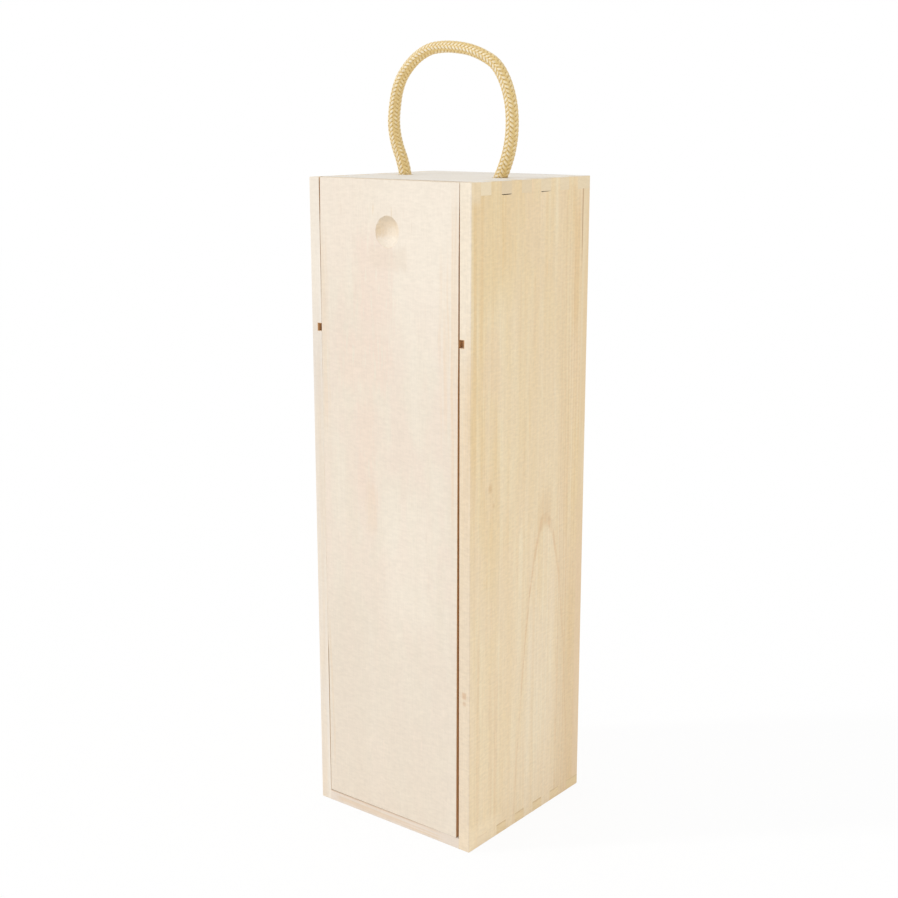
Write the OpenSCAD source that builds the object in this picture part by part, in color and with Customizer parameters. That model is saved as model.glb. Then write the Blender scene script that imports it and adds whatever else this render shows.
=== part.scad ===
// Wooden box for one bottle of wine, with a sliding lid and a rope handle.
// Origin in the middle of the base. +Z is up, the lid faces -Y.

/* [Box] */
// Width of the box, across the lid
box_w = 106; // [98:1:130]
// Depth of the box, from the lid's face to the back
box_d = 104; // [96:1:130]
// Height of the box, without the handle
box_h = 350; // [330:1:420]

/* [Boards] */
// Thickness of the two side boards
side_t = 6.8; // [6:0.1:9]
// Thickness of the top board
top_t = 6.5; // [5:0.1:9]
// Thickness of the bottom board
bottom_t = 6; // [5:0.1:9]
// Thickness of the back board
back_t = 6; // [4:0.1:9]

/* [Finger joints] */
// Distance from the front face to the first finger
finger_start = 7.6; // [7.2:0.1:12]
// Width of one finger
finger_w = 8.5; // [6:0.1:10]
// Distance from one finger to the next
finger_pitch = 17; // [14:0.5:22]
// Depth by which two sockets of the right side are cut too deep
loose_gap = 0.4; // [0.1:0.05:0.8]

/* [Lid] */
// Thickness of the lid
lid_t = 6.2; // [5.6:0.1:6.4]
// Thickness of the tongues along the lid's edges
tongue_t = 2.9; // [2:0.1:3]
// Depth of the grooves that the tongues run in
groove_depth = 3.4; // [2.6:0.1:4]
// Mean gap between the lid's face and each stile
lid_side_gap = 1.1; // [0.7:0.1:1.6]
// How far the lid's top leans to the right in its play
lid_lean = 1; // [0:0.1:1.2]
// Gap between the lid's back and the top board
lid_back_gap = 0.6; // [0.4:0.1:1.5]
// Smallest gap between the lid and the box
slide_gap = 0.3; // [0.2:0.05:0.4]
// Gap between a tongue's tip and its groove's floor
tongue_tip_gap = 0.7; // [0.5:0.1:1.2]

/* [Thumb recess] */
// Width of the recess in the lid
thumb_d = 16; // [12:0.5:24]
// Depth of the recess
thumb_depth = 3; // [1.5:0.1:4]
// Distance from the lid's top edge to the middle of the recess
thumb_drop = 26; // [18:0.5:60]

/* [Neck rest] */
// Height of the neck rest's underside above the base
rest_z = 270; // [220:1:290]
// Thickness of the neck rest
rest_t = 3.6; // [3:0.1:5]
// Height of play above the neck rest in its housing slots
rest_play = 0.4; // [0.2:0.1:0.8]
// Depth of the housing slots in the side boards
dado_depth = 2.5; // [1.5:0.1:3]
// Gap between the neck rest's ends and the floors of the slots
rest_end_gap = 0.2; // [0.1:0.05:0.5]
// Distance from the lid's back to the neck rest's front edge
rest_setback = 1.5; // [1:0.5:6]
// Width of the slot for the bottle's neck
neck_slot_w = 34; // [30:1:40]
// Distance from the box's middle to the middle of the neck slot's round end
neck_slot_y = 0; // [-4:1:6]

/* [Rope] */
// Diameter of the braided rope
rope_d = 6.6; // [5:0.1:8]
// Clearance round the rope in its holes, on the diameter
rope_hole_play = 1.4; // [1:0.1:3]
// Distance between the middles of the two holes
hole_spacing = 63; // [50:1:66]
// Gap between the handle's two ends and the top board
handle_gap = 0.3; // [0.2:0.1:0.6]
// Radius of the turns of each knot, at the middle of the rope
knot_turn_r = 5; // [4:0.1:6]
// Gap between the knots and the top board
knot_gap = 0.3; // [0.1:0.1:0.5]
// Length of rope left below each knot
tail_len = 11; // [6:0.5:20]

/* [Hidden] */
$fn = 96;

// Overrun of every cut past the face that it opens
cut = 1;

front_y = -box_d / 2;
side_d = box_d - back_t;
inner_w = box_w - 2 * side_t;
inside_top = box_h - top_t;

// Fingers are counted from the front, and the last one runs to the rear edge
least_last_finger = 4;
finger_count = floor((side_d - finger_start - least_last_finger) / finger_pitch) + 1;
loose_fingers = [1, 3];

groove_w = tongue_t + 2 * slide_gap;
lip_t = lid_t - tongue_t - slide_gap;
lid_face_w = inner_w - 2 * lid_side_gap;
tongue_w = groove_depth + slide_gap - tongue_tip_gap;
lid_seat_z = bottom_t + slide_gap;
lid_top_gap = 0.05;
lid_room = box_h - lid_seat_z - lid_top_gap;
lid_tilt = asin(lid_lean / lid_room);
lid_drop = lid_face_w * sin(lid_tilt);
lid_len = lid_room - lid_drop;

thumb_ball_r = (thumb_d * thumb_d / 4 + thumb_depth * thumb_depth) / (2 * thumb_depth);

rope_hole_d = rope_d + rope_hole_play;
knot_turn_rise = 5;
knot_h = knot_turn_rise + rope_d;
handle_rise = handle_gap + rope_d / 2;

// Middle line of the rope handle in the plane y = 0: x, and the height above the top board.
// It swings about a line through its first and last points.
handle_route = [
    [-32, handle_rise], [-34, 9], [-36.5, 15], [-38.5, 22], [-39, 29], [-38, 37], [-36.5, 43.5],
    [-33.5, 50], [-28.5, 56], [-22, 61], [-14, 64.5], [-5, 65.5], [4, 65], [12.5, 63.5],
    [21, 60.5], [28, 56.5], [33, 50.5], [36.5, 43], [38.5, 35], [39, 27], [38.5, 19.5],
    [36.5, 11.5], [32.5, handle_rise]
];
handle_sides = 12;
ball_angles = [20, 45, 70];

function finger_y(k) = finger_start + k * finger_pitch;

// A finger that comes close to the side board's rear edge runs on to the back of the box
function finger_end(k) =
    finger_y(k) + finger_w > side_d - least_last_finger ? box_d : finger_y(k) + finger_w;

module finger_strip(k, width, z, height) {
    translate([-width / 2, front_y + finger_y(k), z])
        cube([width, finger_end(k) - finger_y(k), height]);
}

// A board across the box, between the sides, with fingers that run out through them
module end_board(front, z, thickness) {
    translate([-inner_w / 2, front_y + front, z])
        cube([inner_w, box_d - front, thickness]);
    for (k = [0 : finger_count - 1]) {
        finger_strip(k, box_w, z, thickness);
    }
    translate([-box_w / 2, front_y + side_d, z])
        cube([box_w, back_t, thickness]);
}

// The right side board. Its sockets match the fingers, and extra deepens the loose ones.
module side_board(extra) {
    difference() {
        translate([inner_w / 2, front_y, 0])
            cube([side_t, side_d, box_h]);
        translate([inner_w / 2 - cut, front_y + lip_t, -cut])
            cube([groove_depth + cut, groove_w, box_h + 2 * cut]);
        translate([inner_w / 2 - cut, front_y - cut, rest_z])
            cube([dado_depth + cut, side_d + 2 * cut, rest_t + rest_play]);
        for (k = [0 : finger_count - 1]) {
            finger_strip(k, box_w + 2 * cut, -cut, bottom_t + cut);
            finger_strip(k, box_w + 2 * cut, inside_top, top_t + cut);
        }
        for (k = loose_fingers) {
            finger_strip(k, box_w + 2 * cut, inside_top - extra, top_t);
        }
    }
}

module left_side() {
    color("burlywood") mirror([1, 0, 0]) side_board(0);
}

module right_side() {
    color("burlywood") side_board(loose_gap);
}

module back_panel() {
    color("wheat")
        translate([-box_w / 2, front_y + side_d, bottom_t])
            cube([box_w, back_t, inside_top - bottom_t]);
}

module top_panel() {
    color("antiquewhite")
        difference() {
            end_board(lid_t + lid_back_gap, inside_top, top_t);
            for (side = [-1, 1]) {
                translate([side * hole_spacing / 2, 0, inside_top - cut])
                    cylinder(d = rope_hole_d, h = top_t + 2 * cut);
            }
        }
}

module bottom_panel() {
    color("antiquewhite") end_board(0, 0, bottom_t);
}

module neck_rest() {
    rest_w = inner_w + 2 * (dado_depth - rest_end_gap);
    rest_front = front_y + lid_t + rest_setback;
    color("navajowhite")
        difference() {
            translate([-rest_w / 2, rest_front, rest_z])
                cube([rest_w, front_y + side_d - rest_front, rest_t]);
            translate([0, neck_slot_y, rest_z - cut])
                cylinder(d = neck_slot_w, h = rest_t + 2 * cut);
            translate([-neck_slot_w / 2, rest_front - cut, rest_z - cut])
                cube([neck_slot_w, neck_slot_y - rest_front + cut, rest_t + 2 * cut]);
        }
}

// The lid stands on its lower right corner and leans against the left lip at the bottom
module lid() {
    color("linen")
        translate([-inner_w / 2 + slide_gap, front_y, lid_seat_z + lid_drop])
            rotate([0, lid_tilt, 0])
                difference() {
                    union() {
                        cube([lid_face_w, lid_t, lid_len]);
                        translate([-tongue_w, lid_t - tongue_t, 0])
                            cube([lid_face_w + 2 * tongue_w, tongue_t, lid_len]);
                    }
                    translate([lid_face_w / 2, thumb_depth - thumb_ball_r, lid_len - thumb_drop])
                        sphere(r = thumb_ball_r);
                }
}

// The rope's end: the stretch in its hole, two turns of the knot and the tail below
module rope_end() {
    knot_top = inside_top - knot_gap;
    color("goldenrod") {
        translate([0, 0, knot_top - knot_h - tail_len])
            cylinder(d = rope_d, h = box_h - knot_top + knot_h + tail_len);
        for (turn = [0, 1]) {
            translate([0, 0, knot_top - rope_d / 2 - turn * knot_turn_rise])
                rotate_extrude()
                    translate([knot_turn_r, 0])
                        circle(d = rope_d);
        }
    }
}

module rope_end_left() {
    translate([-hole_spacing / 2, 0, 0]) rope_end();
}

module rope_end_right() {
    translate([hole_spacing / 2, 0, 0]) rope_end();
}

function unit(v) = v / norm(v);

// Direction of the handle's middle line at point i
function handle_way(i) =
    let (last = len(handle_route) - 1)
    unit(handle_route[min(i + 1, last)] - handle_route[max(i - 1, 0)]);

// Rings of the tube, each a middle point, a direction and a radius, with round ends
function handle_rings() =
    let (last = len(handle_route) - 1, r = rope_d / 2)
    concat(
        [for (a = ball_angles) [handle_route[0] - handle_way(0) * r * cos(a), handle_way(0), r * sin(a)]],
        [for (i = [0 : last]) [handle_route[i], handle_way(i), r]],
        [for (i = [len(ball_angles) - 1 : -1 : 0])
            [handle_route[last] + handle_way(last) * r * cos(ball_angles[i]),
             handle_way(last), r * sin(ball_angles[i])]]
    );

// Points of one ring, round the middle line
function ring_points(ring) = [
    for (s = [0 : handle_sides - 1])
        let (a = 360 * s / handle_sides, out = ring[2] * cos(a))
        [ring[0][0] + out * ring[1][1], ring[2] * sin(a), box_h + ring[0][1] - out * ring[1][0]]
];

module rope_handle() {
    rings = handle_rings();
    n = handle_sides;
    points = [for (ring = rings) each ring_points(ring)];
    walls = [
        for (i = [0 : len(rings) - 2], s = [0 : n - 1])
            let (a = i * n + s, b = i * n + (s + 1) % n)
            each [[a, b, b + n], [a, b + n, a + n]]
    ];
    first_cap = [for (s = [n - 1 : -1 : 0]) s];
    last_cap = [for (s = [0 : n - 1]) (len(rings) - 1) * n + s];
    color("goldenrod") polyhedron(points, concat(walls, [first_cap, last_cap]));
}

left_side();
right_side();
back_panel();
top_panel();
bottom_panel();
neck_rest();
lid();
rope_end_left();
rope_end_right();
rope_handle();
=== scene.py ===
import math

import bmesh
import bpy
import numpy as np
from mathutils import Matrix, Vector, noise


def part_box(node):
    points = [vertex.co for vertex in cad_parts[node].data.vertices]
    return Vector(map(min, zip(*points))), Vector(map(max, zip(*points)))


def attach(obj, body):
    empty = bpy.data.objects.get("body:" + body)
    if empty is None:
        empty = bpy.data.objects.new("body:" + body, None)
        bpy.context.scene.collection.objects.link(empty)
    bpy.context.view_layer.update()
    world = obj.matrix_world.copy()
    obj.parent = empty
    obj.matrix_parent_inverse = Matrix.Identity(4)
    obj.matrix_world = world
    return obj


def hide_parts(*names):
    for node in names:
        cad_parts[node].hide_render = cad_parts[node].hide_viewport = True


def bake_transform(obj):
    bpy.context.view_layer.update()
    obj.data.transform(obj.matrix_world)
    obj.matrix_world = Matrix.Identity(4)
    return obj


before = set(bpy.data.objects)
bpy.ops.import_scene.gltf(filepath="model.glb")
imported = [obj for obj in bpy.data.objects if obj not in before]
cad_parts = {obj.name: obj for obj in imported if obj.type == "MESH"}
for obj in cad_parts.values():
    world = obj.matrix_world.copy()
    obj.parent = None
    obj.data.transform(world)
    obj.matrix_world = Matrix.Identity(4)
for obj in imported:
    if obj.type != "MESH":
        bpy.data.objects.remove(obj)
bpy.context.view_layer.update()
mm = 0.001


def paint(red, green, blue):
    # a colour as it is read on a screen, 0 to 255, turned into Blender's own linear numbers
    def straight(value):
        share = value / 255
        return share / 12.92 if share <= 0.04045 else ((share + 0.055) / 1.055) ** 2.4
    return (straight(red), straight(green), straight(blue), 1)


def feed(tree, socket, value):
    if isinstance(value, bpy.types.NodeSocket):
        tree.links.new(value, socket)
    else:
        socket.default_value = value


def addNode(tree, kind, inputs=None, **settings):
    made = tree.nodes.new("ShaderNode" + kind)
    for key, value in settings.items():
        setattr(made, key, value)
    for key, value in (inputs or {}).items():
        feed(tree, made.inputs[key], value)
    return made


def calc(tree, operation, *values):
    made = addNode(tree, "Math", operation=operation)
    for socket, value in zip(made.inputs, values):
        feed(tree, socket, value)
    return made.outputs[0]


def product(tree, first, *others):
    for other in others:
        first = calc(tree, "MULTIPLY", first, other)
    return first


def vectorCalc(tree, operation, *values):
    made = addNode(tree, "VectorMath", operation=operation)
    for socket, value in zip(made.inputs, values):
        feed(tree, socket, value)
    return made.outputs["Value" if operation == "LENGTH" else "Vector"]


def rise(tree, value, low, high):
    # 0 below low, 1 above high; with low above high it falls instead
    made = addNode(tree, "MapRange", {"Value": value, "From Min": low, "From Max": high},
                   interpolation_type="SMOOTHSTEP")
    return made.outputs[0]


def blendPaint(tree, share, first, second):
    made = addNode(tree, "Mix", data_type="RGBA")
    feed(tree, made.inputs[0], share)
    feed(tree, made.inputs[6], first)
    feed(tree, made.inputs[7], second)
    return made.outputs[2]


def cloud(tree, place, perMm, detail=2.0, offset=0.0, output="Fac"):
    # noise from 0 to 1 with its own count per millimetre along each of the three ways
    moved = vectorCalc(tree, "MULTIPLY_ADD", place, perMm, (offset, offset, offset))
    return addNode(tree, "TexNoise", {"Vector": moved, "Scale": 1.0, "Detail": detail}).outputs[output]


def newMaterial(name):
    material = bpy.data.materials.new(name)
    material.use_nodes = True
    material.node_tree.nodes.clear()
    return material, material.node_tree


def finishMaterial(tree, shader):
    output = addNode(tree, "OutputMaterial")
    tree.links.new(shader, output.inputs["Surface"])


def addObject(name, mesh, material):
    made = bpy.data.objects.new(name, mesh)
    bpy.context.scene.collection.objects.link(made)
    mesh.materials.append(material)
    return made


viewLook = {
    "lens": 57.27,  # mm
    "sensor": 36,  # mm
    "yaw": 38.26,  # degrees from the lid's face towards the right side
    "pitch": 13.23,  # degrees above level
    "aim": (-0.0009, -0.0007, 0.2029),  # the point it looks at
    "distance": 0.783,  # from there, in metres
}


def placeCamera(look):
    yaw, pitch = math.radians(look["yaw"]), math.radians(look["pitch"])
    back = Vector((math.sin(yaw) * math.cos(pitch), -math.cos(yaw) * math.cos(pitch), math.sin(pitch)))
    data = bpy.data.cameras.new("camera")
    data.lens = look["lens"]
    data.sensor_width = look["sensor"]
    camera = bpy.data.objects.new("camera", data)
    camera.location = Vector(look["aim"]) + back * look["distance"]
    camera.rotation_euler = (-back).to_track_quat("-Z", "Y").to_euler()
    bpy.context.scene.collection.objects.link(camera)
    bpy.context.scene.camera = camera


placeCamera(viewLook)
print("camera placed")


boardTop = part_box("top_panel")[1].z
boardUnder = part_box("top_panel")[0].z

ropeLook = {
    "diameter": 6.6 * mm,
    "holeAt": 31.5 * mm,  # from the middle of the box to the middle of each hole
    "seam": -3.5 * mm,  # where handle and knot meet, inside the hole
    # middle line of the handle, as x and the height above the top board
    "route": [
        (-0.0314, -0.0004), (-0.0319, 0.0025), (-0.0328, 0.0055), (-0.0341, 0.0092), (-0.0366, 0.015),
        (-0.0385, 0.022), (-0.039, 0.029), (-0.038, 0.037), (-0.0365, 0.0435), (-0.0335, 0.05),
        (-0.0285, 0.056), (-0.022, 0.061), (-0.014, 0.0645), (-0.005, 0.0655), (0.004, 0.065),
        (0.0125, 0.0635), (0.021, 0.0605), (0.028, 0.0565), (0.033, 0.0505), (0.0365, 0.043),
        (0.0385, 0.035), (0.0391, 0.027), (0.0386, 0.0195), (0.037, 0.012), (0.0346, 0.0055),
        (0.0332, 0.0025), (0.0318, -0.0004),
    ],
    "strands": 8,  # strands that wind each way
    "lead": 18.6 * mm,  # length in which a strand goes once round
    "cellSteps": 6,  # faces along each side of the lozenge where two strands cross
    "strandHeight": 0.3 * mm,
    "strandRise": 0.2 * mm,  # how far a strand climbs over and dips under
    "swell": 0.06,  # share by which the rope is thicker at its feet than at its top
    "bendsOver": 14 * mm,  # height above the board in which the rope bends when it swings
    "pathEvery": 12,
    "paint": {
        # the valley colour is painted shade between the strands, the crown colour a painted highlight on
        # their tops
        "valleyShade": (184, 147, 84),
        "body": (236, 207, 137),
        "crown": (255, 246, 220),
        "thread": (201, 165, 100),
        # painted highlight on the threads that face straight forwards or back
        "paintedSheen": (255, 250, 234),
    },
}


def smoothLine(points, step):
    # a curve through the points, in steps of equal length
    fine, parts = [], 24
    ends = [points[0] * 2 - points[1]] + list(points) + [points[-1] * 2 - points[-2]]
    for before, start, end, after in zip(ends, ends[1:], ends[2:], ends[3:]):
        for part in range(parts):
            t = part / parts
            fine.append(0.5 * (2 * start + (end - before) * t
                               + (2 * before - 5 * start + 4 * end - after) * t * t
                               + (3 * start - before - 3 * end + after) * t * t * t))
    fine.append(points[-1])
    line, carried = [fine[0].copy()], 0.0
    for start, end in zip(fine, fine[1:]):
        length = (end - start).length
        while length > 0 and carried + length >= step:
            start = start.lerp(end, (step - carried) / length)
            length = (end - start).length
            carried = 0.0
            line.append(start.copy())
        carried += length
    return line


def lineLength(line):
    return sum((b - a).length for a, b in zip(line, line[1:]))


def braidStep(look):
    return look["lead"] / (2 * look["strands"] * look["cellSteps"])


def braidTube(name, line, radiusAt, look, material):
    # Two sets of strands wind against each other, and each goes over two and under two.
    # The faces follow the strands, so that every lozenge of a strand has clean edges.
    steps, strands = look["cellSteps"], look["strands"]
    height, climb = look["strandHeight"], look["strandRise"]
    count = steps * strands
    mesh = bpy.data.meshes.new(name)
    points, crowns = [], []
    side = Vector((0, 1, 0))
    if abs((line[1] - line[0]).normalized().y) > 0.9:
        side = Vector((1, 0, 0))
    for k, middle in enumerate(line):
        ahead = (line[min(k + 1, len(line) - 1)] - line[max(k - 1, 0)]).normalized()
        side = (side - ahead * side.dot(ahead)).normalized()
        other = ahead.cross(side)
        radius = radiusAt(k / (len(line) - 1)) - height - climb
        for m in range(count):
            a, b = m / steps, (m + k) / steps
            i, j = math.floor(a + 0.5), math.floor(b + 0.5)
            first = height * math.sqrt(max(0, 1 - 4 * (a - i) ** 2))
            first += climb * math.cos(math.pi / 2 * (b + i - 0.5))
            second = height * math.sqrt(max(0, 1 - 4 * (b - j) ** 2))
            second -= climb * math.cos(math.pi / 2 * (a + j - 0.5))
            lift = max(first, second)
            angle = math.pi * (a + b) / strands
            points.append(middle + (side * math.cos(angle) + other * math.sin(angle)) * (radius + lift))
            crowns.append(max(0, lift) / (height + climb))
    faces, fibres = [], []

    def corner(m, k):
        return k * count + m % count

    def fibre(m, k, i, j, over):
        # across the strand, along it, and which strand it is
        a, b = m / steps, (m + k) / steps
        return (a - i, b, i % strands) if over else (b - j, a, strands + j % strands)

    for k in range(1, len(line) - 1):
        for m in range(count):
            middleA, middleB = (m + 0.5) / steps, (m + k + 0.5) / steps
            i, j = math.floor(middleA + 0.5), math.floor(middleB + 0.5)
            over = (i + j) % 4 < 2
            ring = [(m, k), (m + 1, k - 1), (m + 1, k), (m, k + 1)]
            faces.append([corner(*c) for c in ring])
            fibres.extend(fibre(*c, i, j, over) for c in ring)
    last = len(line) - 1
    for k in (0, last):
        for m in range(count):
            if k == 0:
                faces.append([corner(m, 0), corner(m + 1, 0), corner(m, 1)])
            else:
                faces.append([corner(m, last), corner(m + 1, last - 1), corner(m + 1, last)])
            fibres.extend([(0, 0, 0)] * 3)
    for k in (0, last):
        points.append(line[k])
        crowns.append(0.4)
        hub = len(points) - 1
        for m in range(count):
            pair = [corner(m + 1, k), corner(m, k)]
            faces.append([hub] + (pair if k == 0 else pair[::-1]))
            fibres.extend([(0, 0, 0)] * 3)
    mesh.from_pydata(points, [], faces)
    crown = mesh.attributes.new("crown", "FLOAT", "POINT")
    crown.data.foreach_set("value", crowns)
    run = mesh.attributes.new("fibre", "FLOAT_VECTOR", "CORNER")
    run.data.foreach_set("vector", [value for triple in fibres for value in triple])
    mesh.shade_smooth()
    mesh.update()
    return addObject(name, mesh, material)


def ropeMaterial(look):
    material, tree = newMaterial("braided_rope")
    crown = addNode(tree, "Attribute", attribute_name="crown").outputs["Fac"]
    fibre = addNode(tree, "Attribute", attribute_name="fibre").outputs["Vector"]
    # fine threads that run along each strand, and a tone of its own for each stretch of a strand
    threads = cloud(tree, fibre, (7.0, 0.8, 5.3), detail=3.0)
    tones = cloud(tree, fibre, (0.0, 0.9, 7.7), detail=1.0, offset=4.0)
    # painted shade in the hollows between strands, and a painted highlight on the crowns of the strands
    skin = blendPaint(tree, rise(tree, crown, 0.18, 0.7), paint(*look["paint"]["valleyShade"]),
                      paint(*look["paint"]["body"]))
    shine = product(tree, rise(tree, crown, 0.74, 0.98), rise(tree, tones, 0.32, 0.62), 0.6)
    skin = blendPaint(tree, shine, skin, paint(*look["paint"]["crown"]))
    # painted highlight: the threads that face straight forwards or back are painted paler, standing in
    # for their gloss
    normal = addNode(tree, "SeparateXYZ", {0: addNode(tree, "TexCoord").outputs["Normal"]})
    paintedSheen = rise(tree, calc(tree, "ABSOLUTE", normal.outputs["Y"]), 0.84, 0.97)
    paintedSheen = product(tree, paintedSheen, rise(tree, crown, 0.6, 0.9), 0.7)
    skin = blendPaint(tree, paintedSheen, skin, paint(*look["paint"]["paintedSheen"]))
    darker = product(tree, rise(tree, threads, 0.6, 0.35), 0.5)
    skin = blendPaint(tree, darker, skin, paint(*look["paint"]["thread"]))
    bump = addNode(tree, "Bump", {"Strength": 0.4, "Distance": 0.0001, "Height": threads})
    shader = addNode(tree, "BsdfPrincipled", {
        "Base Color": skin, "Roughness": 0.3, "Specular IOR Level": 0.55, "Normal": bump.outputs[0]})
    finishMaterial(tree, shader.outputs[0])
    return material


def handleLine(look):
    hole = look["holeAt"]
    points = [Vector((-hole, 0, boardTop + look["seam"]))]
    points += [Vector((x, 0, boardTop + z)) for x, z in look["route"]]
    points += [Vector((hole, 0, boardTop + look["seam"]))]
    return smoothLine(points, braidStep(look))


def makeHandle(look, material):
    line = handleLine(look)
    radius = look["diameter"] / 2

    def radiusAt(share):
        return radius * (1 + look["swell"] * math.cos(2 * math.pi * share))

    rope = braidTube("rope", line, radiusAt, look, material)
    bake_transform(rope)
    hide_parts("rope_handle")


ropeFinish = ropeMaterial(ropeLook)
makeHandle(ropeLook, ropeFinish)


knotLook = {
    # lengths in mm: a loose knot is laid out along a trefoil curve and then drawn tight
    "loose": (3.4, 3.2, 3.6),
    "turns": 2.12,
    "samples": 400,  # points of that curve
    "aside": 6.0,  # the loose knot stands this far beside its ends
    "ends": 8.0,  # and they reach this far past it
    "step": 2.2,
    "thickness": 5.9,  # the rope gives a little where it presses on itself
    "apart": 1.35,  # points closer along the rope than this many thicknesses may touch
    "stiffness": ((2, 0.93), (4, 0.8)),  # how far points some steps apart keep from each other
    "push": {"bend": 0.25, "touch": 0.35},  # share of each fault that one pass takes away
    "rounds": 260,
    "settle": 30,  # rounds at the end without a pull
    "sweeps": 14,
    "pull": 0.6,  # how far the end is drawn down in each round
    "stretch": 1.09,  # the pull stops while the rope is stretched more than this
    "bendFrom": 1.2,  # a step that goes further aside than this is part of the knot
    "throat": (1.0, -0.6),  # heights about the board's underside between which the rope is straight
    "radius": 3.2,
    "cutEnd": (0.16, 0.985, 0.015),  # how much thinner, from where, and over what share of the length
    "lowest": 22.4,  # the cut end, below the top board's underside
    "bite": 0.25,  # how far the knot is drawn up against the board
    "turned": {"left": 20, "right": 205},  # degrees about the hole
}


def pushApart(points, first, second, least, share):
    away = points[second] - points[first]
    length = np.maximum(np.linalg.norm(away, axis=1), 1e-9)
    close = length < least
    move = (away * ((least - length) / length * share)[:, None])[close]
    total = np.zeros_like(points)
    hits = np.zeros(len(points))
    np.add.at(total, first[close], -move)
    np.add.at(total, second[close], move)
    np.add.at(hits, first[close], 1)
    np.add.at(hits, second[close], 1)
    points += total / np.maximum(hits, 1)[:, None]


def tightKnot(look):
    # The ends are drawn apart while the rope keeps its length and never passes through itself
    wide, deep, tall = look["loose"]
    t = np.linspace(-look["turns"], look["turns"], look["samples"])
    line = np.stack([wide * (t ** 4 - 4 * t ** 2 + 2) - look["aside"],
                     deep * (t ** 5 / 5 - 2 * t), -tall * (t ** 3 - 3 * t)], 1)
    line = np.vstack([[0, 0, line[0, 2] + look["ends"]], line, [0, 0, line[-1, 2] - look["ends"]]])
    run = np.concatenate([[0], np.cumsum(np.linalg.norm(np.diff(line, axis=0), axis=1))])
    count = int(run[-1] / look["step"]) + 1
    step = run[-1] / (count - 1)
    even = np.linspace(0, run[-1], count)
    points = np.stack([np.interp(even, run, line[:, axis]) for axis in range(3)], 1)
    every = np.arange(count)
    first, second = np.triu_indices(count, math.ceil(look["thickness"] * look["apart"] / step))
    head = np.array([[0, 0, points[0, 2] - step * k] for k in range(3)])
    foot = points[-1].copy()
    for turn in range(look["rounds"]):
        length = np.linalg.norm(np.diff(points, axis=0), axis=1).mean()
        if turn < look["rounds"] - look["settle"] and length < step * look["stretch"]:
            foot[2] -= look["pull"]
        for _ in range(look["sweeps"]):
            for start in (0, 1):
                a = every[start:-1:2]
                way = points[a + 1] - points[a]
                size = np.maximum(np.linalg.norm(way, axis=1), 1e-9)
                move = way * ((size - step) / size / 2)[:, None]
                points[a] += move
                points[a + 1] -= move
            for steps, share in look["stiffness"]:
                least = step * steps * share
                pushApart(points, every[:-steps], every[steps:], least, look["push"]["bend"])
            pushApart(points, first, second, look["thickness"], look["push"]["touch"])
            points[:3] = head
            points[-1] = foot
    return points


def knotLine(look, ropeStep):
    # the knot hangs under the board at height 0, on the axis of its hole
    points = tightKnot(look)
    aside = np.hypot(*(np.diff(points, axis=0)[:, :2].T))
    bends = np.nonzero(aside > look["bendFrom"])[0]
    body = points[bends[0]:bends[-1] + 2]
    top = body[2:, 2].max() + look["radius"] - look["bite"]
    entry = int(np.nonzero(points[:, 2] > top)[0].max()) + 1
    moved = points[entry:] - [points[entry, 0], points[entry, 1], top]
    high, low = look["throat"]
    kept = [Vector((0, 0, (boardTop - boardUnder + ropeLook["seam"]) / mm)), Vector((0, 0, high))]
    for point in moved:
        if point[2] < -look["lowest"]:
            break
        if point[2] < low:
            kept.append(Vector(point))
    return smoothLine([p * mm for p in kept], ropeStep)


def makeKnot(side, hole, line, look, material):
    turn = math.radians(look["turned"][side])
    placed = [Vector((p.x * math.cos(turn) - p.y * math.sin(turn) + hole,
                      p.x * math.sin(turn) + p.y * math.cos(turn), boardUnder + p.z)) for p in line]
    radius = look["radius"] * mm
    thinner, start, length = look["cutEnd"]

    def radiusAt(share):
        # the cut end is sealed and a little thinner
        return radius * (1 - thinner * max(0, (share - start) / length) ** 2)

    knot = braidTube("knot_" + side, placed, radiusAt, ropeLook, material)
    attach(knot, "box")
    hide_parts("rope_end_" + side)
    print("knot", side, round(lineLength(placed), 4), "m,", len(knot.data.polygons), "faces")


tiedLine = knotLine(knotLook, braidStep(ropeLook))
makeKnot("left", -ropeLook["holeAt"], tiedLine, knotLook, ropeFinish)
makeKnot("right", ropeLook["holeAt"], tiedLine, knotLook, ropeFinish)


def boardSpace(tree, vector, ways):
    # turns x, y, z into across, through and along the board
    split = addNode(tree, "SeparateXYZ", {0: vector})
    values = [split.outputs[way] for way in ways]
    return addNode(tree, "CombineXYZ", dict(enumerate(values))).outputs[0], values


def ringShade(tree, turn):
    # late wood: the shade grows slowly through each ring and stops short at its end
    share = calc(tree, "FRACT", turn)
    return product(tree, rise(tree, share, 0.3, 0.9), rise(tree, share, 1.0, 0.93))


def centred(tree, value, amount):
    # noise from 0 to 1 turned into a shift of about plus or minus amount
    return calc(tree, "MULTIPLY_ADD", value, amount * 4, -amount * 2)


def archShares(tree, level, along, arch, ragged):
    # one late-wood line of a leaning trunk, which a flat cut shows as an arch, and the wood inside it
    aside = calc(tree, "SUBTRACT", level, arch["across"])
    above = calc(tree, "SUBTRACT", along, arch["top"])
    reach = calc(tree, "MULTIPLY_ADD", above, arch["lean"], arch["reach"])
    radius = calc(tree, "SQRT", calc(tree, "MULTIPLY_ADD", aside, aside, product(tree, reach, reach)))
    off = calc(tree, "ADD", calc(tree, "SUBTRACT", radius, arch["shift"]), ragged)
    line = rise(tree, calc(tree, "ABSOLUTE", off), arch["half"], arch["half"] * 0.25)
    haze = product(tree, rise(tree, off, arch["haze"], 0.0), rise(tree, off, -0.1, 0.1), 0.35)
    legs = calc(tree, "MULTIPLY_ADD", rise(tree, aside, -5, 5), arch["legs"][1] - arch["legs"][0],
                arch["legs"][0])
    inside = rise(tree, off, -arch["half"], -arch["half"] * 6)
    return product(tree, calc(tree, "MAXIMUM", line, haze), legs), inside


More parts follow.
